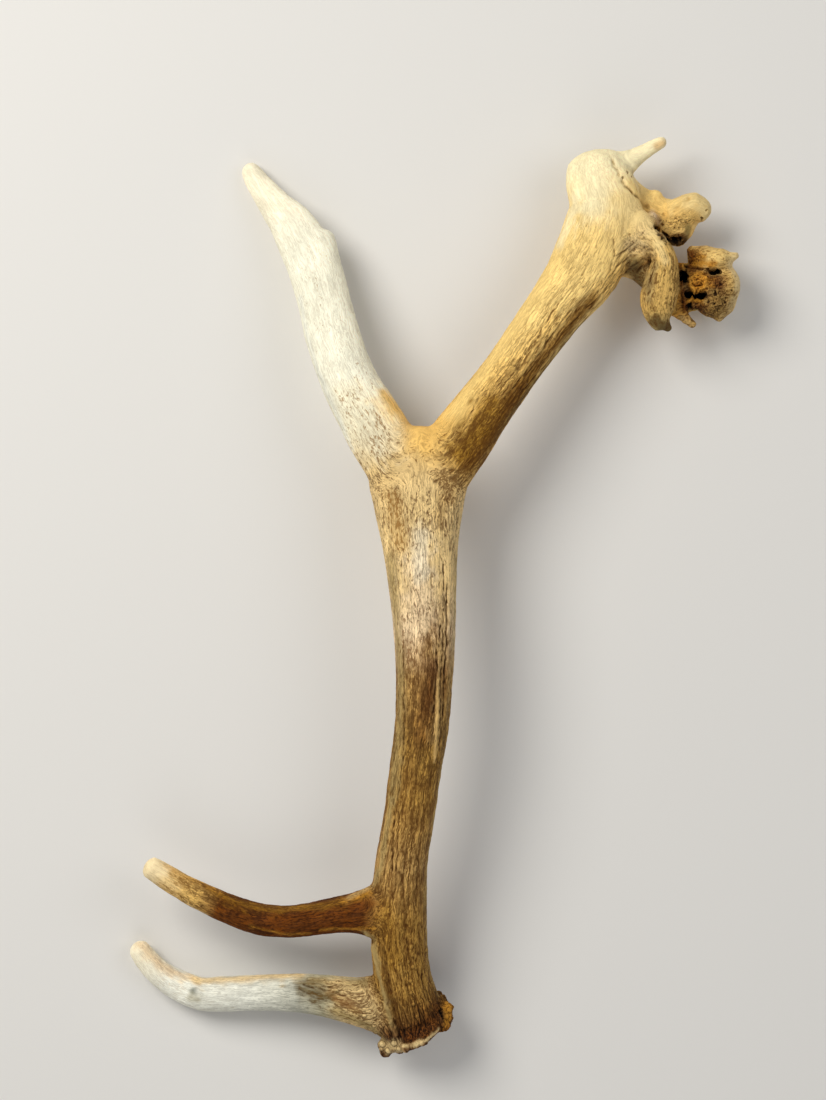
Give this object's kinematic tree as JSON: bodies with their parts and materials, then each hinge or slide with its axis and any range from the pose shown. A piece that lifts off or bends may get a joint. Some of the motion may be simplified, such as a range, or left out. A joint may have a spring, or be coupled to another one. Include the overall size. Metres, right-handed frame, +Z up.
{
  "type": "elk shed antler",
  "caption": "Elk shed antler lying flat: knobbly burr, brow and bez tines, arched beam, Y fork and a misgrown, partly hollow crown.",
  "frame": {"origin": "on the surface that the antler lies on, under the middle of its bounding box", "axes": "+Y along the antler from the burr to the crown, +X to the crown's side (the tines point to -X), +Z up from the surface"},
  "size_m": [0.6458, 0.9686, 0.1355],
  "materials": {
    "main_beam": "olive brown bone, grooved, satin on the ridges",
    "brow_tine": "pale grey bone, smooth satin",
    "bez_tine": "dark amber bone, satin",
    "fork_tine": "cream bone with brown flecks, satin",
    "upper_beam": "golden bone with brown flecks, satin",
    "crown_spike": "pale gold bone, satin",
    "crown_knob": "gold bone, rough and spongy below",
    "crown_cup": "tan bone, rough and spongy inside"
  },
  "bodies": {
    "root": {"main_beam": "main_beam", "brow_tine": "brow_tine", "bez_tine": "bez_tine", "fork_tine": "fork_tine", "upper_beam": "upper_beam", "crown_spike": "crown_spike", "crown_knob": "crown_knob", "crown_cup": "crown_cup"}
  },
  "joints": []
}
